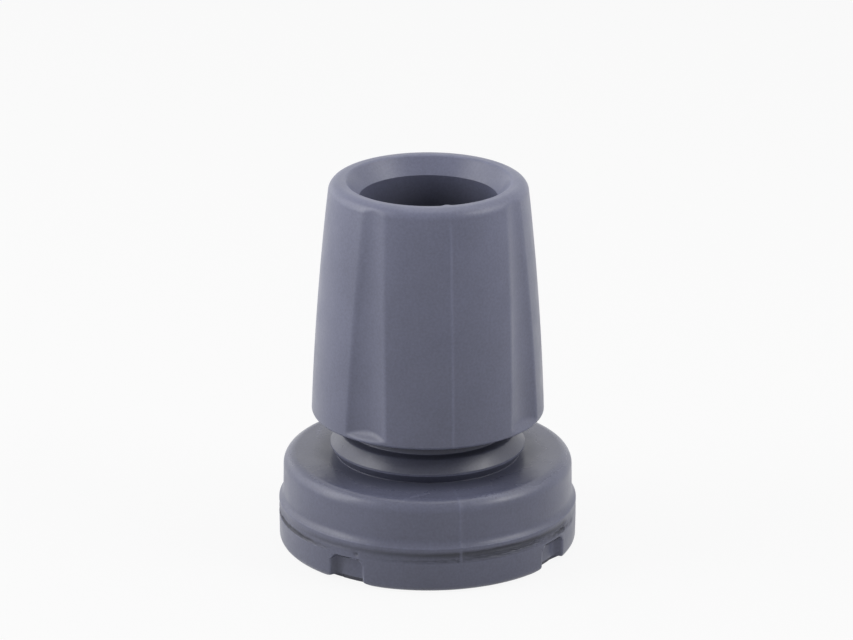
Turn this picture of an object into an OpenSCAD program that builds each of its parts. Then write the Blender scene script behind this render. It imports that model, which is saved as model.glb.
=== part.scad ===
// Rubber cane tip: a one-piece moulded ferrule with a fluted socket, a flexible waist and a ringed tread.
// It stands on its tread, centred on Z, and the socket opens upwards.
// The two halves of the mould meet in the plane X = 0. The flutes and the tread notches stand
// halfway between that plane and the plane Y = 0.

/* [Socket] */
// Diameter of the bore that grips the cane tube
bore_d = 19; // [16:0.5:20]
// Depth of the socket, from the rim to the floor that the tube stands on
socket_depth = 32.5; // [28:0.5:33]
// Height of the flared lead-in at the mouth
lead_in_h = 2.4; // [1.5:0.1:3]
// Angle of the lead-in, measured from the axis of the bore
lead_in_angle = 40; // [30:1:42]
// Rounding of the inner edge of the rim
mouth_round = 0.4; // [0.2:0.1:0.8]

/* [Body] */
// Height of the whole tip
total_h = 52.5; // [50:0.5:60]
// Outer diameter that the side would have at the top, before the rim is rounded
rim_d = 27.2; // [26.8:0.1:28.5]
// Outer diameter at the lower edge of the body
skirt_d = 32.3; // [31:0.1:34]
// Height of the lower edge of the body above the ground
skirt_z = 19; // [18:0.25:19.5]
// How far the side bulges out from a straight taper
side_bulge = 0.34; // [0.1:0.02:0.5]
// Rounding of the outer edge of the rim
rim_round = 1.8; // [1:0.1:1.8]
// Rounding of the lower edge of the body
skirt_round = 0.8; // [0.3:0.1:1]

/* [Flutes] */
// Number of flutes around the body, each with a notch in the tread below it
flute_count = 4; // [3:1:6]
// Radius of the hollow of a flute
flute_r = 8.5; // [5:0.5:12]
// Depth of a flute at its foot
flute_foot_depth = 1; // [0.5:0.1:1.2]
// Depth of a flute where it runs out into the rim
flute_top_depth = 0.2; // [0.1:0.05:0.5]
// How far the floor of a flute bows out along its length
flute_bow = 0.3; // [0.1:0.05:0.4]
// Angle of the ramp that closes a flute, measured from the ground
flute_ramp = 45; // [30:5:60]

/* [Waist] */
// Diameter of the waist, in the shadow of the body
waist_d = 22.4; // [21.5:0.1:23.5]
// Diameter of the lip that the waist flares out to
lip_d = 27.1; // [26:0.1:29]
// Height of the edge of the lip above the base
lip_h = 1.5; // [1.2:0.1:2]
// Diameter at the top of the flare, where it turns in to the waist
flare_d = 24.4; // [24:0.1:25]
// Height of the top of the flare above the edge of the lip
flare_h = 1.7; // [1:0.1:2]
// Diameter of the groove under the lip
lip_groove_d = 25.6; // [24.5:0.1:26]

/* [Base] */
// Height of the top of the base above the ground
base_h = 13; // [12:0.25:14]
// Diameter of the wall of the base at the shoulder
base_d = 40.2; // [39:0.1:41]
// Rounding of the shoulder
shoulder_round = 1.8; // [0.8:0.1:2.5]
// Height where the wall starts to curve out to the bead at its foot
cove_z = 7.6; // [7.3:0.1:8.5]
// Radius of that curve
cove_r = 1.3; // [1:0.1:1.4]
// Diameter of the bead
bead_d = 41.5; // [41.2:0.1:42]
// Height of the middle of the groove between bead and tread
groove_z = 5.6; // [5:0.1:5.7]
// Height of the opening of that groove
groove_w = 0.2; // [0.1:0.05:0.3]
// Depth of that groove
groove_depth = 0.5; // [0.4:0.05:1]

/* [Tread] */
// Largest diameter of the tread, at the line where the mould's lower plate ends
tread_d = 41.5; // [41:0.1:43]
// Diameter of the tread at the ground, before its edge is rounded
foot_d = 41.4; // [40.5:0.1:41.5]
// Rounding of the edge that meets the ground
foot_round = 1.2; // [0.3:0.1:2]
// Width of each notch in the rim of the tread
notch_w = 5; // [3:0.25:7]
// Height of each notch
notch_h = 3.8; // [2.5:0.1:4]
// Depth of each notch, towards the axis
notch_depth = 1.6; // [1:0.1:3]
// Number of ring grooves in the sole
ring_count = 3; // [1:1:3]
// Width of each ring groove
ring_w = 1.8; // [1:0.1:2]
// Depth of each ring groove
ring_depth = 2; // [1:0.1:2.5]
// Distance from one ring groove to the next
ring_pitch = 4.2; // [3.5:0.1:4.3]

/* [Hidden] */
$fn = 96;
far = 60;
rubber = [0.42, 0.43, 0.48];

// Corners of the side of the body, before its edges are rounded
skirt_corner = [skirt_d / 2, skirt_z];
rim_corner = [rim_d / 2, total_h];

// The arc of the side passes through both corners
side_half = norm(rim_corner - skirt_corner) / 2;
side_r = (side_half ^ 2 + side_bulge ^ 2) / (2 * side_bulge);
side_lean = atan2(skirt_corner.x - rim_corner.x, total_h - skirt_z);
side_out = [cos(side_lean), sin(side_lean)];
side_center = (skirt_corner + rim_corner) / 2 - (side_r - side_bulge) * side_out;

// Centres of the roundings that touch that arc, and the angles where they touch it
rim_center = touch(rim_round, total_h - rim_round);
rim_angle = asin((rim_center.y - side_center.y) / (side_r - rim_round));
skirt_center = touch(skirt_round, skirt_z + skirt_round);
skirt_angle = asin((skirt_center.y - side_center.y) / (side_r - skirt_round));

// Lead-in of the mouth, and the centre of the rounding of its edge
lead_in_z = total_h - lead_in_h;
mouth_top = bore_d / 2 + lead_in_h * tan(lead_in_angle);
mouth_center = [
  bore_d / 2 + (mouth_round + (lead_in_h - mouth_round) * sin(lead_in_angle)) / cos(lead_in_angle),
  total_h - mouth_round
];

// Floor of a flute: an arc from its foot to the rim
flute_foot = [skirt_d / 2 - flute_foot_depth, skirt_z + flute_foot_depth];
flute_head = [side_r_at(total_h - rim_round) - flute_top_depth, total_h - rim_round];
flute_half = norm(flute_head - flute_foot) / 2;
flute_sweep_r = (flute_half ^ 2 + flute_bow ^ 2) / (2 * flute_bow);
flute_lean = atan2(flute_foot.x - flute_head.x, flute_head.y - flute_foot.y);
flute_center = (flute_foot + flute_head) / 2 - (flute_sweep_r - flute_bow) * [cos(flute_lean), sin(flute_lean)];
flute_reach = 2 * asin(flute_half / flute_sweep_r);

// How far above the lower edge of the body the ramp of a flute meets the side
ramp_rise = 0.4;

lip_z = base_h + lip_h;
lip_edge = 0.3;
waist_fillet = 1;
flare_rise = 0.3;

// The bead's crest is rounded where the cove runs into it, and its underside where the groove starts.
// The rounding bites a little into the cove, so the two meet in a clean edge.
bead_round = 0.3;
bite = 0.01;
groove_top = groove_z + groove_w / 2;
groove_bottom = groove_z - groove_w / 2;
cove_center = [base_d / 2 + cove_r, cove_z];
crest_x = bead_d / 2 - bead_round;
crest_reach = cove_r + bead_round - bite;
crest_turn = acos((cove_center.x - crest_x) / crest_reach);
crest_center = [crest_x, cove_z - crest_reach * sin(crest_turn)];

// The lower plate of the mould ends just above the notches, and the tread narrows from there down
plate_line = notch_h + 0.1;
tread_lean = atan2((tread_d - foot_d) / 2, plate_line);
foot_center = [foot_d / 2 - foot_round * (1 - sin(tread_lean)) / cos(tread_lean), foot_round];

// Solids that join run into each other by this much, and cutters stand out by it
lap = 1;

// Radius of the side arc at height z
function side_r_at(z) = side_center.x + sqrt(side_r ^ 2 - (z - side_center.y) ^ 2);

// Centre of a circle of radius r at height z that touches the side arc from inside
function touch(r, z) = [side_center.x + sqrt((side_r - r) ^ 2 - (z - side_center.y) ^ 2), z];

function ray(angle, length = 1) = length * [cos(angle), sin(angle)];

// What lies beyond radius r about a centre, between two angles: it rounds the convex edge there
module beyond(center, r, from, to) {
  reach = 2 * r;
  translate(center)
    difference() {
      polygon([[0, 0], ray(from, reach), ray((from + to) / 2, reach), ray(to, reach)]);
      circle(r);
    }
}

// A fillet in the corner between a wall and a ledge, on the side that turn faces
module fillet(corner, r, turn) {
  root = 0.1;
  translate(corner)
    rotate(turn)
      difference() {
        translate([-root, -root]) square(r + root);
        translate([r, r]) circle(r);
      }
}

// Section of the socket body, solid
module body_section() {
  difference() {
    intersection() {
      translate([0, skirt_z]) square([far, total_h - skirt_z]);
      translate(side_center) circle(side_r, $fn = 1440);
    }
    beyond(rim_center, rim_round, rim_angle, 90);
    beyond(skirt_center, skirt_round, -90, skirt_angle);
  }
}

// Section of the waist, from inside the base to inside the body
module waist_section() {
  r = waist_d / 2;
  polygon([
    [0, base_h - lap],
    [lip_groove_d / 2, base_h - lap],
    [lip_groove_d / 2, lip_z - 2 * lip_edge],
    [lip_d / 2, lip_z - lip_edge],
    [lip_d / 2, lip_z],
    [flare_d / 2, lip_z + flare_h],
    [r, lip_z + flare_h + flare_rise],
    [r, skirt_z + lap],
    [0, skirt_z + lap]
  ]);
  fillet([r, skirt_z], waist_fillet, -90);
}

// Section of the base above the groove: its wall curves out to the bead
module base_section() {
  difference() {
    union() {
      translate([0, groove_top]) square([base_d / 2, base_h - groove_top]);
      translate([0, groove_top]) square([bead_d / 2, cove_z - groove_top]);
    }
    translate(cove_center) circle(cove_r);
    beyond([base_d / 2 - shoulder_round, base_h - shoulder_round], shoulder_round, 0, 90);
    beyond(crest_center, bead_round, 0, crest_turn);
    beyond([crest_x, groove_top + bead_round], bead_round, -90, 0);
  }
}

// Section of the tread, with its ring grooves, up to the floor of the groove above it
module tread_section() {
  difference() {
    union() {
      polygon([
        [0, 0],
        [foot_d / 2, 0],
        [tread_d / 2, plate_line],
        [tread_d / 2, groove_bottom],
        [0, groove_bottom]
      ]);
      translate([0, groove_bottom - lap]) square([bead_d / 2 - groove_depth, groove_w + 2 * lap]);
    }
    beyond(foot_center, foot_round, -90, -tread_lean);
    for (i = [1:ring_count])
      translate([i * ring_pitch, -lap]) square([ring_w, ring_depth + lap]);
  }
}

// The lead-in of the socket, with the rounding of the rim's inner edge
module mouth() {
  rotate_extrude() {
    polygon([
      [0, lead_in_z],
      [bore_d / 2, lead_in_z],
      [mouth_top, total_h],
      [mouth_top, total_h + lap],
      [0, total_h + lap]
    ]);
    beyond(mouth_center, mouth_round, 90, 180 - lead_in_angle);
  }
}

// A flute's hollow: a round bar, bowed along its length, ending on the ramp at its foot
module flute() {
  intersection() {
    translate([flute_center.x, 0, flute_center.y])
      rotate([90, 0, 0])
        rotate(flute_lean - flute_reach)
          rotate_extrude(angle = 2 * flute_reach, $fn = 2880)
            translate([flute_sweep_r + flute_r, 0]) circle(flute_r);
    translate([skirt_d / 2, 0, skirt_z + ramp_rise])
      rotate([0, flute_ramp, 0])
        translate([-far / 2, -far / 2, 0]) cube(far);
  }
}

// A notch in the rim of the tread
module notch() {
  translate([foot_d / 2 - notch_depth, -notch_w / 2, -lap])
    cube([notch_depth + 2 * lap, notch_w, notch_h + lap]);
}

module ferrule() {
  color(rubber)
    difference() {
      rotate_extrude() {
        body_section();
        waist_section();
        base_section();
        tread_section();
      }
      translate([0, 0, total_h - socket_depth]) cylinder(d = bore_d, h = socket_depth + lap);
      mouth();
      for (i = [0:flute_count - 1])
        rotate(45 + i * 360 / flute_count) {
          flute();
          notch();
        }
    }
}

ferrule();
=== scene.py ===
import math

import bpy
import numpy as np
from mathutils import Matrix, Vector


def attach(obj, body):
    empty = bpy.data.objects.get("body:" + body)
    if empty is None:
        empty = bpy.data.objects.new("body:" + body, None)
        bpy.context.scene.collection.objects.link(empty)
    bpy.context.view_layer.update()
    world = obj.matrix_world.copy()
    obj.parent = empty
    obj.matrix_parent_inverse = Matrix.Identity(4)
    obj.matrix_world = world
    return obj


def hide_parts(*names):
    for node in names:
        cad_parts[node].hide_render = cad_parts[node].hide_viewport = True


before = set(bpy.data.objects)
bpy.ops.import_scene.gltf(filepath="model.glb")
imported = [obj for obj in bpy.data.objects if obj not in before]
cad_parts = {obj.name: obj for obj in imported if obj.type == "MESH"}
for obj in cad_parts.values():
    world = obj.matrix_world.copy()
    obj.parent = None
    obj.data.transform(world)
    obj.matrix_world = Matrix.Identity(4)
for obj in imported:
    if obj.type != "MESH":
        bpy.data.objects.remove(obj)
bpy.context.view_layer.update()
print("frame loaded")

mm = 0.001  # the sizes of part and camera are in millimetres, and those of the studio in metres

# The section of the moulding, from the floor of the socket round to the middle of the sole
moulding = {
    "height": 52.5,
    "boreRadius": 9.5,
    "socketDepth": 32.5,
    "leadInHeight": 2.4,
    "leadInAngle": 37.8,
    "mouthRounding": 0.6,
    "rimRadius": 13.6,  # where side and top would meet if the rim weren't rounded
    "rimRounding": 1.55,
    "skirtRadius": 16.15,
    "skirtHeight": 19.0,
    "skirtRounding": 0.5,
    "sideBulge": 0.34,
    "waistRadius": 11.2,
    "waistFillet": 1.0,
    "neckRounding": 0.2,
    "lipRadius": 13.55,
    "lipHeight": 1.5,
    "lipRounding": 0.12,
    "lipEdge": 0.3,  # the upright part below it
    "flareHeight": 1.7,
    "flareTopRadius": 12.2,
    "flareTopRounding": 0.6,
    "flareRise": 0.3,
    "lipGrooveRadius": 12.8,
    "lipGrooveRounding": 0.05,
    "baseHeight": 13.0,
    "baseRadius": 20.06,
    "baseFootRadius": 20.16,
    "shoulderRounding": 1.8,
    "coveHeight": 6.95,
    "coveRounding": 1.3,
    "beadRadius": 20.74,
    "beadTop": 6.42,
    "beadRounding": 0.3,
    "creaseTop": 6.05,
    "treadTop": 4.15,  # below the crease under the bead and what is torn there
    "treadRadius": 20.74,
    "treadTaper": 0.01,  # how much narrower it is at the top of the notches
    "plateLine": 3.9,  # the widest place, where the lower plate of the mould ends
    "plateGap": 0.15,  # the last row above it
    "footRadius": 20.68,
    "footRounding": 1.1,
    "soleRings": (12.6, 8.4, 4.2),
    "ringWidth": 1.8,
    "ringDepth": 2.0,
    "cornerRounding": 0.12,  # on corners that look sharp
}

flutes = {
    "count": 4,
    "hollowRadius": 8.5,
    "footDepth": 1.0,
    "topDepth": 0.2,
    "bow": 0.3,
    "rampStart": 0.4,  # how far above the skirt the ramp at the foot of a flute meets the side
    "rampRows": 2.2,  # how far above the skirt the rows stand closer, to show the ramp
    "softness": 0.2,
    "reach": 16,  # in degrees to each side, well past its edges
}

notches = {
    "width": 5.0,
    "height": 3.8,
    "depth": 1.25,
    "undercut": 0.35,  # the lowest part of the floor is cut in further
    "undercutHeight": 0.6,
    "undercutEdge": 0.1,  # the height over which it starts
    "undercutDark": (0.1, -0.05),  # from that height, where its painted shade starts and where it is full
    "plateEdgeRounding": 0.25,
    "plateFall": 0.15,  # how far the top of a notch slopes down on its way in
    "cornerFine": 0.1,  # the rounding at the inner end of that slope, and at the foot of the floor
    "wallTop": 0.3,  # how far below its height the plain wall starts
    "outerReach": 0.15,  # how much further the slanted wall reaches
    "slant": 0.55,  # its run for each millimetre of depth
    "edgeRounding": 0.45,
    "cornerRounding": 0.75,  # with the edge rounding it must fit into the depth
    "topRounding": 0.8,
    "cornerTurn": 0.95,  # how much of that rounding is used, where 1 would end upright
    "topFullFrom": 3.4,  # the height from which it is in full, and the one where it has faded out
    "topGoneAt": 1.8,
    "plateMargin": 0.05,  # it leaves the plate line itself alone
    "draft": 0.06,
    "besideEdge": 0.45,  # the next column beyond the edge
    "footLift": 0.9,  # the edges of a notch are worn where they meet the ground
    "footSpread": 3.0,
    "footSoftness": 0.2,
    "footWear": (18.2, 18.7),  # the radii between which the wear of the foot starts
    "reach": 3.0,  # a notch is shallower than this
    "innerRadius": 15.5,  # and lies outside this radius
    "plateTop": 0.02,  # and ends this far above the plate line
}

partingLine = {
    "height": 0.05,
    "halfWidth": 0.36,
    "drift": 0.15,  # how far to the right it runs on the base
    "overCrease": 0.6,  # how far it fills the crease under the bead
    "clear": 0.3,  # it starts this far outside the collar
    "nubHeight": 0.22,  # the speck of flash where the line crosses the mouth at the front
    "nubSize": 0.42,
    "nubInward": 0.5,  # how far it leans into the mouth for each millimetre it rises
    "columns": (1.0, 0.66, 0.33),  # in half widths from its middle
}

# How the columns stand round half a sector, in degrees from the middle of a flute
spacing = {
    "fluteEdge": (8.9, 12.8),
    "fluteEdgeStep": 0.36,
    "panelStart": 13.6,
    "panelColumns": 17,
    "lineGap": 1.6,  # the last column of the panel, in half widths of the parting line
}

# The crease under the bead, and a second one below it, where the mould leaked and the strip between
# them is torn. Depths are given round from the front, in degrees, with the right side positive.
crease = {
    "height": 5.4,
    "above": 0.5,  # how far it opens above and below its floor
    "below": 0.45,
    "depths": (
        (-122, 0), (-104, 0.1), (-96, 0.05), (-70, 0.03), (-58, 0.08), (-40, 0.09), (-12, 0.15), (-5, 0.18),
        (8, 0.22), (20, 0.28), (34, 0.17), (53, 0.12), (56, 0.04), (104, 0),
    ),
    "tearHeights": ((-104, 4.48), (-70, 4.48), (-50, 4.56), (0, 4.6), (25, 4.7), (60, 4.72)),
    "tearHalfWidths": ((-104, 0.45), (-70, 0.42), (-55, 0.3), (10, 0.35), (20, 0.45), (53, 0.42)),
    "tearDepths": (
        (-122, 0), (-104, 0.24), (-97, 0.28), (-70, 0.22), (-60, 0.1), (-48, 0), (-25, 0.05), (-12, 0.1),
        (-2, 0.12), (7, 0.12), (13, 0.16), (20, 0.13), (33, 0.08), (36, 0.06), (40, 0.08), (50, 0.2),
        (53, 0.25), (54.5, 0.1), (60, 0.06), (62.6, 0.12), (65, 0),
    ),
    "stripDepths": (
        (-38, 0), (-25, 0.03), (-9, 0.08), (0, 0.1), (7, 0.15), (20, 0.17), (33, 0.15), (37, 0.08),
        (41, 0.1), (52, 0.08), (54, 0),
    ),
    "wander": 0.03,  # how far the crease runs up and down
    "tearWander": 0.06,
    "raggedness": 0.25,
    # for each unevenness: its seed, and its shortest and longest wave in degrees
    "wanderWaves": (4, 3, 20),
    "tearWaves": (5, 1.8, 9),
    "raggedWaves": (7, 1.2, 5),
    "raggedTwist": 60,  # how far its ragged edge turns round the part, in degrees for each millimetre up
    "stripFades": (0.15, 0.05),  # below and above the tear's middle
    "stripTopFade": 0.1,
    "softness": 0.03,
    "shadeSpread": 0.3,  # how far the painted shade reaches beyond the crease
    "shadeFullAt": 0.17,  # the depth at which the painted shade is full
}

# A small pit in the side of the tread
pit = {
    "angle": -130.5,
    "height": 4.7,
    "depth": 0.2,
    "size": 0.32,
    "reach": 0.3,  # how deep under the tread's face it counts
}


def smoothStep(low, high, value):
    t = np.clip((value - low) / (high - low), 0.0, 1.0)
    return t * t * (3.0 - 2.0 * t)


def softMin(a, b, softness):
    # the lower of two values, with the edge where they cross rounded off
    share = np.clip(0.5 + 0.5 * (b - a) / softness, 0.0, 1.0)
    return b + (a - b) * share - softness * share * (1.0 - share)


def softMax(a, b, softness):
    return -softMin(-a, -b, softness)


def outlineThrough(corners):
    # A corner is (radius, height, rounding, points on the rounding, steps to the next corner)
    rows = []
    steps = 1
    for i, (radius, height, rounding, arcPoints, nextSteps) in enumerate(corners):
        here = np.array([radius, height])
        arc = [here]
        if rounding:
            before = np.array(corners[i - 1][:2]) - here
            after = np.array(corners[i + 1][:2]) - here
            before /= np.linalg.norm(before)
            after /= np.linalg.norm(after)
            half = math.acos(np.clip(before @ after, -1, 1)) / 2
            middle = (before + after) / np.linalg.norm(before + after)
            centre = here + middle * rounding / math.sin(half)
            first = here + before * rounding / math.tan(half) - centre
            turn = math.pi - 2 * half
            if first[0] * before[1] - first[1] * before[0] > 0:
                turn = -turn
            start = math.atan2(first[1], first[0])
            arc = [
                centre + rounding * np.array([math.cos(start + turn * t), math.sin(start + turn * t)])
                for t in np.linspace(0, 1, arcPoints)
            ]
        if rows:
            last = rows[-1]
            rows += [last + (arc[0] - last) * k / steps for k in range(1, steps)]
        rows += arc
        steps = nextSteps
    return np.array(rows)


def upperCorners():
    m = moulding
    fine = m["cornerRounding"]
    leadInBottom = m["height"] - m["leadInHeight"]
    mouthRadius = m["boreRadius"] + m["leadInHeight"] * math.tan(math.radians(m["leadInAngle"]))
    lip = m["baseHeight"] + m["lipHeight"]
    slope = (m["skirtRadius"] - m["rimRadius"]) / (m["height"] - m["skirtHeight"])
    rampTop = m["skirtHeight"] + flutes["rampRows"]
    rampTopRadius = m["skirtRadius"] - (rampTop - m["skirtHeight"]) * slope
    return [
        (0.0, m["height"] - m["socketDepth"], 0, 1, 3),
        (m["boreRadius"], m["height"] - m["socketDepth"], fine, 4, 6),
        (m["boreRadius"], leadInBottom, fine, 3, 3),
        (mouthRadius, m["height"], m["mouthRounding"], 9, 1),
        (m["rimRadius"], m["height"], m["rimRounding"], 14, 20),
        (rampTopRadius, rampTop, 0, 1, 12),
        (m["skirtRadius"], m["skirtHeight"], m["skirtRounding"], 6, 3),
        (m["waistRadius"], m["skirtHeight"], m["waistFillet"], 6, 2),
        (m["waistRadius"], lip + m["flareHeight"] + m["flareRise"], m["neckRounding"], 4, 3),
        (m["flareTopRadius"], lip + m["flareHeight"], m["flareTopRounding"], 7, 4),
        (m["lipRadius"], lip, m["lipRounding"], 5, 2),
        (m["lipRadius"], lip - m["lipEdge"], fine, 3, 3),
        (m["lipGrooveRadius"], m["baseHeight"], m["lipGrooveRounding"], 4, 5),
        (m["baseRadius"], m["baseHeight"], m["shoulderRounding"], 12, 4),
        (m["baseFootRadius"], m["coveHeight"], m["coveRounding"], 7, 1),
        (m["beadRadius"], m["beadTop"], m["beadRounding"], 5, 3),
    ]


def creaseCorners():
    # Evenly spaced rows, on which the crease and the torn strip are shaped later
    m = moulding
    return [
        (m["beadRadius"], m["creaseTop"], 0, 1, 24),
        (m["treadRadius"], m["treadTop"], 0, 1, 2),
        (m["treadRadius"], m["plateLine"] + m["plateGap"], 0, 1, 1),
    ]


def soleCorners():
    m = moulding
    fine = m["cornerRounding"]
    corners = []
    for ring in m["soleRings"]:
        outer = ring + m["ringWidth"]
        corners += [
            (outer, 0.0, fine, 2, 1),
            (outer, m["ringDepth"], fine, 2, 1),
            (ring, m["ringDepth"], fine, 2, 1),
            (ring, 0.0, fine, 2, 1),
        ]
    return corners + [(0.0, 0.0, 0, 1, 1)]


def plainTread():
    m = moulding
    return [
        (m["treadRadius"], m["plateLine"], 0, 1, 9),
        (m["treadRadius"] - m["treadTaper"], notches["height"] - notches["wallTop"], 0, 1, 6),
        (m["footRadius"], 0.0, m["footRounding"], 8, 4),
    ]


def notchedTread():
    # The slope into a notch under the plate, and the corners of its floor down to the ground
    m = moulding
    n = notches
    floor = m["footRadius"] - n["depth"]
    foot = floor - n["undercut"]
    plate = outlineThrough([
        (m["treadRadius"], m["plateLine"], 0, 1, 1),
        (m["treadRadius"], n["height"], n["plateEdgeRounding"], 4, 1),
        (floor, n["height"] - n["plateFall"], n["cornerFine"], 4, 1),
        (floor, n["height"] - n["wallTop"], 0, 1, 1),
    ])
    return plate, [
        (floor, n["height"] - n["wallTop"], 0, 1, 4),
        (floor, n["undercutHeight"] + n["undercutEdge"], 0, 1, 1),
        (foot, n["undercutHeight"], 0, 1, 1),
        (foot, 0.0, n["cornerFine"], 8, 4),
    ]


def sectionRows():
    # The plain section and the one through a notch, row for row
    plain = outlineThrough(upperCorners() + creaseCorners() + plainTread() + soleCorners())
    plate, wall = notchedTread()
    toPlate = outlineThrough(upperCorners() + creaseCorners())
    toSole = outlineThrough(wall + soleCorners())
    notched = np.vstack([toPlate, plate, toSole[1:]])
    return plain, notched


def notchColumns(slanted):
    # From the middle of a notch outwards: how far round each column is, and its share of the depth.
    # The mould halves pull apart sideways, so the outer wall of a notch is slanted that way.
    n = notches
    end = n["width"] / 2 + slanted * n["outerReach"]
    foot = end - n["depth"] * (n["slant"] if slanted else n["draft"])
    across = outlineThrough([
        (0.0, n["depth"], 0, 1, 5),
        (foot, n["depth"], n["cornerRounding"], 6, 4),
        (end, 0.0, n["edgeRounding"], 5, 2),
        (end + n["besideEdge"], 0.0, 0, 1, 1),
    ])
    return [(math.degrees(math.asin(y / moulding["footRadius"])), depth / n["depth"]) for y, depth in across]


def columnAngles(slantedFirst):
    # Angles round from the middle of a flute, denser at the edges of notch and flute and at the parting line
    sector = 360 / flutes["count"]
    half = sector / 2
    lineWidth = math.degrees(partingLine["halfWidth"] / moulding["skirtRadius"])
    fluteEdge = np.arange(*spacing["fluteEdge"], spacing["fluteEdgeStep"])
    panelEnd = half - spacing["lineGap"] * lineWidth
    panel = np.linspace(spacing["panelStart"], panelEnd, spacing["panelColumns"])
    line = half - lineWidth * np.array(partingLine["columns"])
    rest = [(float(a), 0.0) for a in np.concatenate([fluteEdge, panel, line])]
    before = [(-a, share) for a, share in reversed((notchColumns(slantedFirst) + rest)[1:])]
    after = notchColumns(not slantedFirst) + rest
    columns = [(-half, 0.0)] + before + after
    angles = np.array([a for a, _ in columns])
    shares = np.array([s for _, s in columns])
    return angles, shares


def sideBulge(height):
    m = moulding
    middle = (m["height"] + m["skirtHeight"]) / 2
    half = (m["height"] - m["skirtHeight"]) / 2
    return m["sideBulge"] * np.clip(1 - ((height - middle) / half) ** 2, 0, 1)


def fluteSurface(height, angle):
    # How far out the floor of a flute lies, seen along a ray at this angle from its middle. The flute
    # is cut as if by a round bar, and ends on a ramp.
    m = moulding
    f = flutes
    foot = np.array([m["skirtRadius"] - f["footDepth"], m["skirtHeight"] + f["footDepth"]])
    headHeight = m["height"] - m["rimRounding"]
    slope = (m["skirtRadius"] - m["rimRadius"]) / (m["height"] - m["skirtHeight"])
    sideThere = m["rimRadius"] + slope * m["rimRounding"] + float(sideBulge(headHeight))
    head = np.array([sideThere - f["topDepth"], headHeight])
    along = (height - foot[1]) / (head[1] - foot[1])
    floor = foot[0] + (head[0] - foot[0]) * along + f["bow"] * (1 - (2 * along - 1) ** 2)
    centre = floor + f["hollowRadius"]
    besideBar = 0.01  # kept above nothing where the ray passes beside the bar
    inside = np.maximum(f["hollowRadius"] ** 2 - (centre * np.sin(angle)) ** 2, besideBar)
    hollow = centre * np.cos(angle) - np.sqrt(inside)
    ramp = (m["skirtRadius"] + m["skirtHeight"] + f["rampStart"] - height) / np.cos(angle)
    return softMax(hollow, ramp, 2 * f["softness"])


def unevenness(angle, seed, shortest, longest, count=9):
    # A smooth random line round the part, about -1 to 1. Its waves go evenly into a full turn.
    random = np.random.default_rng(seed)
    waves = np.unique(np.geomspace(360 / longest, 360 / shortest, count).astype(int))
    total = np.zeros_like(angle)
    for wave in waves:
        total = total + np.sin(np.radians(angle) * wave + random.uniform(0, 2 * math.pi))
    return total / math.sqrt(len(waves))


def fromTable(table, degrees):
    angles, values = zip(*table)
    return np.interp(degrees, angles, values)


def creaseAt(degrees, height):
    # How far the surface is sunk at the crease, at the tear below it and on the strip between them,
    # and how much shade is painted there
    c = crease
    fromFront = (degrees + 90 + 180) % 360 - 180
    upper = c["height"] + c["wander"] * unevenness(degrees, *c["wanderWaves"])
    lower = fromTable(c["tearHeights"], fromFront) + c["tearWander"] * unevenness(degrees, *c["tearWaves"])
    twisted = degrees + c["raggedTwist"] * height
    ragged = np.maximum(1 + c["raggedness"] * unevenness(twisted, *c["raggedWaves"]), 0)
    fadeBelow, fadeAbove = c["stripFades"]
    onStrip = smoothStep(lower - fadeBelow, lower + fadeAbove, height)
    onStrip = onStrip * smoothStep(upper, upper - c["stripTopFade"], height)
    strip = fromTable(c["stripDepths"], fromFront) * onStrip * ragged

    def hollows(extra):
        opening = np.where(height > upper, c["above"], c["below"]) + extra
        fold = np.clip(1 - ((height - upper) / opening) ** 2, 0, 1) ** 2
        halfWidth = fromTable(c["tearHalfWidths"], fromFront) + extra
        tear = np.clip(1 - ((height - lower) / halfWidth) ** 2, 0, 1) ** 2 * ragged
        return fromTable(c["depths"], fromFront) * fold, fromTable(c["tearDepths"], fromFront) * tear

    fold, tear = hollows(0)
    shadedFold, shadedTear = hollows(c["shadeSpread"])
    sunk = softMax(fold, np.maximum(tear, strip), c["softness"])
    creaseShade = np.maximum(shadedFold, np.maximum(shadedTear, strip)) / c["shadeFullAt"]
    return sunk, creaseShade


# Where shade is painted: in the socket, round the neck, on the collar and on the base close to it; and where
# the collar and the base are glossier. A pair is where a fade starts and where it is full.
shadeAndGlossZones = {
    "socket": (0.1, -0.4),  # from the lower end of the lead-in
    "neck": (0.3, 0.6),  # up from the top of the collar's flare
    "neckInside": (-0.4, -1.2),  # from the skirt's radius
    "collar": 0.5,  # how dark it is there, where the socket and the neck are 1
    "base": 0.45,
    "baseInside": (17, 13.5),  # the radii round the collar
    "margin": 0.1,  # how far a place reaches past its corners
    "wideMargin": 0.3,  # and past its rounded corners
    "boreMargin": 0.2,
    "gloss": (-0.9, -0.1),  # from the top of the base
}


def paintedShade(radius, height):
    # painted shade: 1 in the socket and round the neck, and about half that on the collar and on the base
    # close to it
    m = moulding
    s = shadeAndGlossZones
    near = s["margin"]
    lip = m["baseHeight"] + m["lipHeight"]
    ledge = lip + m["flareHeight"]
    leadInBottom = m["height"] - m["leadInHeight"]
    inSocket = smoothStep(leadInBottom + s["socket"][0], leadInBottom + s["socket"][1], height)
    inSocket = inSocket * (radius < m["boreRadius"] + s["boreMargin"])
    inSocket = inSocket * (height > m["height"] - m["socketDepth"] - near)
    onNeck = smoothStep(ledge + s["neck"][0], ledge + s["neck"][1], height)
    onNeck = onNeck * (height < m["skirtHeight"] + s["wideMargin"])
    inside = [m["skirtRadius"] + reach for reach in s["neckInside"]]
    onNeck = onNeck * smoothStep(*inside, radius)
    onCollar = s["collar"] * (height > lip - near) * (height < ledge + s["wideMargin"])
    onCollar = onCollar * (radius < m["skirtRadius"])
    onBase = s["base"] * smoothStep(*s["baseInside"], radius)
    onBase = onBase * (height > m["baseHeight"] - near) * (height < lip - s["wideMargin"])
    return np.maximum(np.maximum(inSocket, onNeck), np.maximum(onCollar, onBase))


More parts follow.
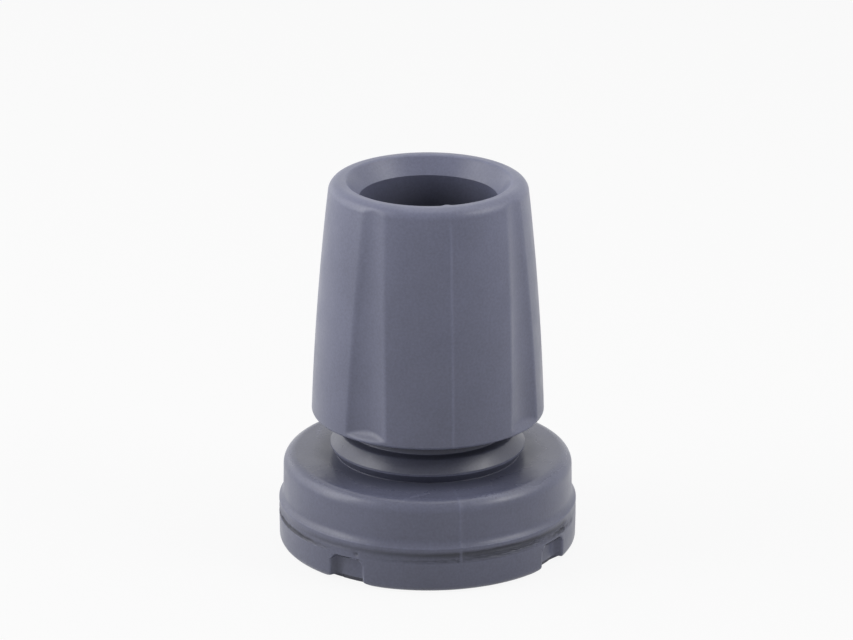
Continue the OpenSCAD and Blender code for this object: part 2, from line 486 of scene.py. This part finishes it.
def glossy(height):
    # 1 on the collar and on the flat top of the base, which are smoother than the sides
    m = moulding
    start, full = shadeAndGlossZones["gloss"]
    fromBase = smoothStep(m["baseHeight"] + start, m["baseHeight"] + full, height)
    return fromBase * (height < m["baseHeight"] + m["lipHeight"] + m["flareHeight"])


def ferruleMesh():
    m = moulding
    n = notches
    plain, notched = sectionRows()
    sameRow = 1e-6
    mouthRadius = m["boreRadius"] + m["leadInHeight"] * math.tan(math.radians(m["leadInAngle"]))

    blocks = []
    lineBlocks = []
    darkBlocks = []
    glossBlocks = []
    sectorCount = flutes["count"]
    for sector in range(sectorCount):
        angles, shares = columnAngles(slantedFirst=sector % 2 == 0)
        share = shares[None, :]
        local = np.radians(angles)[None, :]
        degrees = angles[None, :] + (sector + 0.5) * 360 / sectorCount
        degrees = (degrees + 180) % 360 - 180
        section = plain[:, None, :] * (1 - share[..., None]) + notched[:, None, :] * share[..., None]
        radius, height = section[..., 0], section[..., 1]
        degrees = np.broadcast_to(degrees, radius.shape)
        world = np.radians(degrees)

        side = (radius > m["rimRadius"] - m["rimRounding"]) & (height > m["skirtHeight"] - sameRow)
        radius = np.where(side, radius + sideBulge(height), radius)
        cut = fluteSurface(height, local)
        inFlute = side & (np.abs(angles)[None, :] < flutes["reach"])
        radius = np.where(inFlute, softMin(radius, cut, flutes["softness"]), radius)

        # the edges of a notch are worn where they meet the ground
        across = np.abs(m["footRadius"] * np.sin(local)) - n["width"] / 2
        away = 1 - np.clip(across / n["footSpread"], 0, 1)
        lift = n["footLift"] * (1 - np.sqrt(1 - away**2)) * (1 - share)
        lift = lift * smoothStep(*n["footWear"], radius) * (height < n["height"] / 2)
        height = np.where(lift > 0, softMax(height, lift, n["footSoftness"]), height)

        # the top of a notch has rounded corners
        towardsWall = np.clip(across / n["topRounding"] + 1, 0, n["cornerTurn"])
        drop = n["topRounding"] * (1 - np.sqrt(1 - towardsWall**2)) * (share > 0)
        lowered = smoothStep(n["topGoneAt"], n["topFullFrom"], height)
        lowered = lowered * (radius > m["lipRadius"]) * (height < m["plateLine"] - n["plateMargin"])
        height = height - drop * lowered

        # the two halves of the mould meet at the front and the back
        drift = partingLine["drift"] * (height < m["skirtHeight"])
        offLine = np.abs(np.cos(world) * radius - drift)
        onLine = smoothStep(0, 1, 1 - offLine / partingLine["halfWidth"])

        # the crease under the bead with its torn strip, and the pit, both sunk and given painted shade
        atCrease = (radius > m["baseRadius"]) & (height > m["treadTop"]) & (height < m["creaseTop"])
        unfilled = 1 - partingLine["overCrease"] * onLine
        sunk, creaseShade = creaseAt(degrees, height)
        radius = radius - sunk * atCrease * unfilled
        creaseShade = creaseShade * atCrease * unfilled
        fromPit = np.hypot(np.radians(degrees - pit["angle"]) * radius, height - pit["height"])
        onTread = (radius > m["footRadius"] - pit["reach"]) & (height < m["creaseTop"])
        inPit = onTread * np.exp(-((fromPit / pit["size"]) ** 2))
        radius = radius - pit["depth"] * inPit

        # painted shade on the lowest part of a notch's floor, as dark as in the socket
        inNotch = share * (height < m["plateLine"]) * (radius > m["footRadius"] - n["reach"])
        darkFrom, darkFull = n["undercutDark"]
        undercut = smoothStep(n["undercutHeight"] + darkFrom, n["undercutHeight"] + darkFull, height)
        undercut = inNotch * undercut

        outside = (radius > m["lipRadius"] + partingLine["clear"]) & (height > m["treadTop"])
        radius = radius + partingLine["height"] * onLine * outside
        radius = np.where(outside, np.minimum(radius, m["treadRadius"]), radius)
        x, y = radius * np.cos(world), radius * np.sin(world)

        # the speck of flash on the edge of the mouth
        fromNub = np.sqrt(x**2 + (y + mouthRadius) ** 2 + (height - m["height"]) ** 2)
        nub = np.exp(-((fromNub / partingLine["nubSize"]) ** 2))
        height = np.minimum(height + partingLine["nubHeight"] * nub, m["height"])
        y = y + partingLine["nubInward"] * partingLine["nubHeight"] * nub

        glossBlocks.append(glossy(height))
        # painted shade: the zones round socket, neck, collar and base, the crease and its tear, the pit and
        # the foot of each notch
        dark = np.maximum(paintedShade(radius, height), creaseShade)
        darkBlocks.append(np.maximum(dark, np.maximum(inPit, undercut)))
        blocks.append(np.stack([x, y, height], axis=2))
        lineBlocks.append(onLine * outside + nub)
    points = np.concatenate(blocks, axis=1)
    line = np.concatenate(lineBlocks, axis=1)
    shade = np.clip(np.concatenate(darkBlocks, axis=1), 0, 1)
    gloss = np.concatenate(glossBlocks, axis=1)

    # the first and the last row are single points on the axis
    rows, columns = points.shape[:2]
    ends = [[0, 0, plain[0, 1]], [0, 0, plain[-1, 1]]]
    vertices = np.vstack([points[1:-1].reshape(-1, 3), ends]) * mm
    faces = []
    for row in range(rows - 3):
        for column in range(columns):
            right = (column + 1) % columns
            a = row * columns + column
            b = row * columns + right
            faces.append((a, a + columns, b + columns, b))
    top = len(vertices) - 2
    bottom = len(vertices) - 1
    lastRow = (rows - 3) * columns
    for column in range(columns):
        right = (column + 1) % columns
        faces.append((top, column, right))
        faces.append((bottom, lastRow + right, lastRow + column))
    mesh = bpy.data.meshes.new("ferruleSkin")
    mesh.from_pydata(vertices.tolist(), [], faces)
    mesh.update()
    mesh.shade_smooth()
    normals = surfaceNormals(points)[1:-1].reshape(-1, 3)
    mesh.normals_split_custom_set_from_vertices(np.vstack([normals, [[0, 0, 1], [0, 0, -1]]]).tolist())

    # the material reads where the mould line runs, where edges stand out and where shade is painted
    grids = {"mouldLine": line, "edge": standingOut(points), "paintedShade": shade, "gloss": gloss}
    for name, grid in grids.items():
        values = np.append(grid[1:-1].ravel(), [grid[0, 0], grid[-1, 0]]).astype(np.float32)
        mesh.attributes.new(name, "FLOAT", "POINT").data.foreach_set("value", values)
    print("skin", rows, "rows", columns, "columns", len(faces), "faces")
    return mesh


def surfaceNormals(points):
    # Down the section the longer neighbour decides, which keeps flats flat beside small roundings.
    # Round the part the nearer one does, except at the notches, because the columns are uneven there.
    def steps(axis):
        before = points - np.roll(points, 1, axis=axis)
        after = np.roll(points, -1, axis=axis) - points
        sizes = [np.maximum(np.linalg.norm(step, axis=2, keepdims=True), 1e-6) for step in (before, after)]
        return before / sizes[0], after / sizes[1], sizes[0], sizes[1]

    m = moulding
    up, down, upSize, downSize = steps(0)
    section = up * upSize**2 + down * downSize**2
    left, right, leftSize, rightSize = steps(1)
    fromAxis = np.hypot(points[..., 0], points[..., 1])
    atNotch = (points[..., 2] < m["plateLine"] + notches["plateTop"]) & (fromAxis > notches["innerRadius"])
    byLength = left * leftSize**2 + right * rightSize**2
    byNearness = left * rightSize + right * leftSize
    normals = np.cross(section, np.where(atNotch[..., None], byLength, byNearness))
    return normals / np.maximum(np.linalg.norm(normals, axis=2, keepdims=True), 1e-12)


def standingOut(points):
    # How sharply the surface turns outwards at each point, 0 to 1, along the section and round the part
    shortest = 0.08  # a turn over less than this counts as one over this length
    fullRadius = 0.3  # an edge this round or sharper counts in full

    def bend(before, after):
        a = points - before
        b = after - points
        lengths = np.linalg.norm(a, axis=2), np.linalg.norm(b, axis=2)
        a = a / np.maximum(lengths[0], 1e-6)[..., None]
        b = b / np.maximum(lengths[1], 1e-6)[..., None]
        return a - b, np.maximum(lengths[0] + lengths[1], shortest) / 2

    down = np.roll(points, -1, axis=0)
    up = np.roll(points, 1, axis=0)
    along = down - up
    beside = np.roll(points, -1, axis=1) - np.roll(points, 1, axis=1)
    normal = np.cross(along, beside)
    normal = normal / np.maximum(np.linalg.norm(normal, axis=2), 1e-9)[..., None]
    total = np.zeros(points.shape[:2])
    for before, after in ((up, down), (np.roll(points, 1, axis=1), np.roll(points, -1, axis=1))):
        turn, length = bend(before, after)
        curve = (turn * normal).sum(axis=2) / length
        total = np.maximum(total, curve * fullRadius)
    return np.clip(total, 0, 1)


def placeFerrule(material):
    mesh = ferruleMesh()
    skin = bpy.data.objects.new("ferruleSkin", mesh)
    bpy.context.scene.collection.objects.link(skin)
    mesh.materials.append(material)
    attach(skin, "root")
    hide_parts("ferrule")


rubber = {
    "colour": (0.142, 0.150, 0.220, 1),
    "paintedLightByHeight": 0.2,  # painted light and shade: lighter than this colour at the mouth, and darker at the ground
    "clouding": 0.07,  # how far the colour drifts
    "speckle": 0.07,
    # a painted highlight on edges that stand out, with some wear
    "edgeWearAndHighlight": 0.17,
    # a painted highlight along the ridge of the mould line
    "lineHighlight": 0.16,
    "scuffLightening": 0.5,
    "paintedShadeDarkening": 0.7,
    "paintedShadeDulling": 0.2,  # how much rougher the places with painted shade are
    "edgeDulling": 0.1,
    "scuffDulling": 0.15,
    "roughness": 0.35,
    "roughnessDrift": 0.06,
    "glossGain": 0.12,  # how much less rough the collar and the top of the base are
    "grainDepth": 0.006,  # in millimetres, as are the next two
    "waveDepth": 0.02,
    "scuffDepth": 0.01,
    # patchiness: the width of a patch in millimetres and how many finer layers it has
    "cloudPatches": (9.0, 3),
    "specklePatches": (0.35, 2),
    "sheenPatches": (4.0, 4),
    "grainPatches": (0.25, 3),
    "wavePatches": (6.0, 2),
    # the same, and how faint and how strong it makes the edges, the mould line and the scuffs
    "edgePatches": (1.4, 3, 0.2, 1.3),
    "linePatches": (3.0, 3, 0.5, 1.2),
    "scuffPatches": (0.5, 3, 0.0, 1.0),
    # light scuffs on top of the base: place, direction in degrees, length and width
    "scuffs": (
        ((-5.2, -16.9, 13.0), 20.0, 2.6, 0.5),
        ((5.6, -18.3, 12.8), 12.0, 3.4, 0.6),
        ((-13.5, 9.8, 13.0), 70.0, 3.0, 0.5),
    ),
}


def rubberMaterial():
    material = bpy.data.materials.new("greyRubber")
    material.use_nodes = True
    tree = material.node_tree
    shader = tree.nodes["Principled BSDF"]
    place = tree.nodes.new("ShaderNodeTexCoord").outputs["Object"]

    def combine(operation, a, b, clamp=False):
        node = tree.nodes.new("ShaderNodeMath")
        node.operation = operation
        node.use_clamp = clamp
        for socket, value in zip(node.inputs, (a, b)):
            if isinstance(value, (int, float)):
                socket.default_value = value
            else:
                tree.links.new(value, socket)
        return node.outputs["Value"]

    def patches(size, detail, low=0.0, high=1.0):
        texture = tree.nodes.new("ShaderNodeTexNoise")
        texture.inputs["Scale"].default_value = 1 / (size * mm)
        texture.inputs["Detail"].default_value = detail
        tree.links.new(place, texture.inputs["Vector"])
        spread = tree.nodes.new("ShaderNodeMapRange")
        spread.inputs["From Min"].default_value = 0.3  # the noise seldom leaves 0.3 to 0.7
        spread.inputs["From Max"].default_value = 0.7
        spread.inputs["To Min"].default_value = low
        spread.inputs["To Max"].default_value = high
        tree.links.new(texture.outputs["Fac"], spread.inputs["Value"])
        return spread.outputs["Result"]

    def fromMesh(name):
        node = tree.nodes.new("ShaderNodeAttribute")
        node.attribute_name = name
        return node.outputs["Fac"]

    def scuffAt(scuff):
        (x, y, z), direction, length, width = scuff
        mapping = tree.nodes.new("ShaderNodeMapping")
        mapping.vector_type = "TEXTURE"
        mapping.inputs["Location"].default_value = (x * mm, y * mm, z * mm)
        mapping.inputs["Rotation"].default_value = (0, 0, math.radians(direction))
        mapping.inputs["Scale"].default_value = (length * mm, width * mm, length * mm)
        tree.links.new(place, mapping.inputs["Vector"])
        middle = tree.nodes.new("ShaderNodeVectorMath")
        middle.operation = "LENGTH"
        tree.links.new(mapping.outputs["Vector"], middle.inputs[0])
        return combine("SUBTRACT", 1.0, middle.outputs["Value"], clamp=True)

    edge = combine("MULTIPLY", fromMesh("edge"), patches(*rubber["edgePatches"]))
    line = combine("MULTIPLY", fromMesh("mouldLine"), patches(*rubber["linePatches"]))
    scuffs = scuffAt(rubber["scuffs"][0])
    for scuff in rubber["scuffs"][1:]:
        scuffs = combine("MAXIMUM", scuffs, scuffAt(scuff))
    scuffs = combine("MULTIPLY", scuffs, patches(*rubber["scuffPatches"]))

    # colour: a drift, a fine speckle, lighter scuffs, a painted highlight with some wear on edges, and a
    # painted highlight along the mould line
    clouds = patches(*rubber["cloudPatches"], -rubber["clouding"], rubber["clouding"])
    bright = combine("ADD", clouds, 1.0)
    speckles = patches(*rubber["specklePatches"], -rubber["speckle"], rubber["speckle"])
    bright = combine("ADD", bright, speckles)
    bright = combine("ADD", bright, combine("MULTIPLY", edge, rubber["edgeWearAndHighlight"]))
    bright = combine("ADD", bright, combine("MULTIPLY", line, rubber["lineHighlight"]))
    bright = combine("ADD", bright, combine("MULTIPLY", scuffs, rubber["scuffLightening"]))
    # painted light and shade by height: lighter towards the mouth, darker towards the ground
    height = tree.nodes.new("ShaderNodeSeparateXYZ")
    tree.links.new(place, height.inputs[0])
    litByHeight = tree.nodes.new("ShaderNodeMapRange")
    litByHeight.inputs["From Max"].default_value = moulding["height"] * mm
    litByHeight.inputs["To Min"].default_value = 1 - rubber["paintedLightByHeight"]
    litByHeight.inputs["To Max"].default_value = 1 + rubber["paintedLightByHeight"]
    tree.links.new(height.outputs["Z"], litByHeight.inputs["Value"])
    bright = combine("MULTIPLY", bright, litByHeight.outputs["Result"])
    # the painted shade darkens the colour
    shade = combine("MULTIPLY", fromMesh("paintedShade"), rubber["paintedShadeDarkening"])
    bright = combine("MULTIPLY", bright, combine("SUBTRACT", 1.0, shade))
    tint = tree.nodes.new("ShaderNodeVectorMath")
    tint.operation = "SCALE"
    tint.inputs[0].default_value = rubber["colour"][:3]
    tree.links.new(bright, tint.inputs["Scale"])
    tree.links.new(tint.outputs["Vector"], shader.inputs["Base Color"])

    # sheen: a little uneven, duller on worn edges, scuffs and where shade is painted, and shinier on the
    # collar
    low = rubber["roughness"] - rubber["roughnessDrift"]
    high = rubber["roughness"] + rubber["roughnessDrift"]
    sheen = patches(*rubber["sheenPatches"], low, high)
    rough = combine("ADD", sheen, combine("MULTIPLY", edge, rubber["edgeDulling"]))
    rough = combine("ADD", rough, combine("MULTIPLY", scuffs, rubber["scuffDulling"]))
    rough = combine("SUBTRACT", rough, combine("MULTIPLY", fromMesh("gloss"), rubber["glossGain"]))
    rough = combine("ADD", rough, combine("MULTIPLY", fromMesh("paintedShade"), rubber["paintedShadeDulling"]))
    tree.links.new(rough, shader.inputs["Roughness"])

    # surface: the grain of the mould, long soft waves, and the scuffs
    relief = combine("MULTIPLY", patches(*rubber["grainPatches"]), rubber["grainDepth"])
    waves = combine("MULTIPLY", patches(*rubber["wavePatches"]), rubber["waveDepth"])
    relief = combine("ADD", relief, waves)
    relief = combine("ADD", relief, combine("MULTIPLY", scuffs, rubber["scuffDepth"]))
    bump = tree.nodes.new("ShaderNodeBump")
    bump.inputs["Distance"].default_value = mm
    tree.links.new(relief, bump.inputs["Height"])
    tree.links.new(bump.outputs["Normal"], shader.inputs["Normal"])
    return material


placeFerrule(rubberMaterial())
print("ferrule made")

studio = {
    "skyStrength": 0.187,
    # round from the right and up, in degrees, the size in metres and the power in watts.
    # The powers and the sky began as the rounded result of a fit, and about half were then set one by one.
    "softboxes": {
        "rightFront": (-30, 35, 0.2, 0.62),
        "right": (0, 35, 0.2, 0.11),
        "rightHigh": (0, 60, 0.24, 0.22),
        "rightBackHigh": (45, 60, 0.24, 0.05),
        "backHigh": (90, 60, 0.24, 0.12),
        "top": (90, 88, 0.24, 0.18),
        "backLow": (120, 12, 0.2, 0.08),
        "leftBackLow": (150, 12, 0.2, 0.155),
        "leftBack": (150, 35, 0.2, 0.205),
        "leftLow": (180, 12, 0.2, 0.43),
        "left": (180, 35, 0.2, 0.55),
    },
    "softboxDistance": 0.45,
    "aimHeight": 0.03,
    "floorSize": 0.9,
    "floorColour": (0.7, 0.7, 0.7, 1),
    "floorRoughness": 0.9,
    "floorWhiteness": 0.9,
}


def addSoftboxes():
    aim = Vector((0, 0, studio["aimHeight"]))
    for name, (turned, raised, size, power) in studio["softboxes"].items():
        turn = math.radians(turned)
        up = math.radians(raised)
        towards = Vector((math.cos(up) * math.cos(turn), math.cos(up) * math.sin(turn), math.sin(up)))
        data = bpy.data.lights.new(name, "AREA")
        data.energy = power
        data.size = size
        lamp = bpy.data.objects.new(name, data)
        bpy.context.scene.collection.objects.link(lamp)
        lamp.location = aim + towards * studio["softboxDistance"]
        lamp.rotation_euler = (-towards).to_track_quat("-Z", "Y").to_euler()


def seenDirectly(tree):
    # 1 for what the camera sees, also mirrored or through something clear, and 0 for soft light
    lightPath = tree.nodes.new("ShaderNodeLightPath")
    seen = lightPath.outputs["Is Camera Ray"]
    for ray in ("Is Glossy Ray", "Is Transmission Ray"):
        either = tree.nodes.new("ShaderNodeMath")
        either.operation = "MAXIMUM"
        tree.links.new(seen, either.inputs[0])
        tree.links.new(lightPath.outputs[ray], either.inputs[1])
        seen = either.outputs["Value"]
    return seen


def addFloor():
    bpy.ops.mesh.primitive_plane_add(size=studio["floorSize"])
    floor = bpy.context.object
    floor.name = "floor"
    material = bpy.data.materials.new("paleFloor")
    material.use_nodes = True
    tree = material.node_tree
    shader = tree.nodes["Principled BSDF"]
    shader.inputs["Base Color"].default_value = studio["floorColour"]
    shader.inputs["Roughness"].default_value = studio["floorRoughness"]
    # the camera sees the floor nearly white, and its shadow is kept
    white = tree.nodes.new("ShaderNodeEmission")
    mix = tree.nodes.new("ShaderNodeMixShader")
    share = tree.nodes.new("ShaderNodeMath")
    share.operation = "MULTIPLY"
    share.inputs[1].default_value = studio["floorWhiteness"]
    tree.links.new(seenDirectly(tree), share.inputs[0])
    tree.links.new(share.outputs["Value"], mix.inputs["Fac"])
    tree.links.new(shader.outputs["BSDF"], mix.inputs[1])
    tree.links.new(white.outputs["Emission"], mix.inputs[2])
    tree.links.new(mix.outputs["Shader"], tree.nodes["Material Output"].inputs["Surface"])
    floor.data.materials.append(material)


def addWorld():
    world = bpy.data.worlds.new("studioWorld")
    bpy.context.scene.world = world
    world.use_nodes = True
    tree = world.node_tree
    background = tree.nodes["Background"]
    background.inputs["Color"].default_value = (1, 1, 1, 1)
    strength = tree.nodes.new("ShaderNodeMix")
    strength.inputs["A"].default_value = studio["skyStrength"]
    strength.inputs["B"].default_value = 1.0
    tree.links.new(seenDirectly(tree), strength.inputs["Factor"])
    tree.links.new(strength.outputs["Result"], background.inputs["Strength"])


# Angles in degrees, and sizes in millimetres
camera = {
    "azimuth": -12.4,
    "elevation": 19.6,
    "distance": 664.6,
    "aimHeight": 32.14,
    "lens": 203.1,
    "sensorWidth": 36,
    "roll": 0.18,
    "imageWidth": 853,  # in pixels, as is the next one
    "axisColumn": 428.12,  # where the part's axis stands in the image
}


def addCamera():
    c = camera
    data = bpy.data.cameras.new("camera")
    data.lens = c["lens"]
    data.sensor_width = c["sensorWidth"]
    data.shift_x = (c["imageWidth"] / 2 - c["axisColumn"]) / c["imageWidth"]
    holder = bpy.data.objects.new("camera", data)
    bpy.context.scene.collection.objects.link(holder)
    azimuth = math.radians(c["azimuth"])
    elevation = math.radians(c["elevation"])
    away = c["distance"] * mm
    holder.location = (
        away * math.cos(elevation) * math.sin(azimuth),
        -away * math.cos(elevation) * math.cos(azimuth),
        away * math.sin(elevation) + c["aimHeight"] * mm,
    )
    holder.rotation_euler = (math.pi / 2 - elevation, 0, azimuth)
    holder.rotation_euler.rotate_axis("Z", math.radians(c["roll"]))
    bpy.context.scene.camera = holder


addSoftboxes()
addFloor()
addWorld()
addCamera()
bpy.context.scene.view_settings.view_transform = "Standard"
print("studio set")
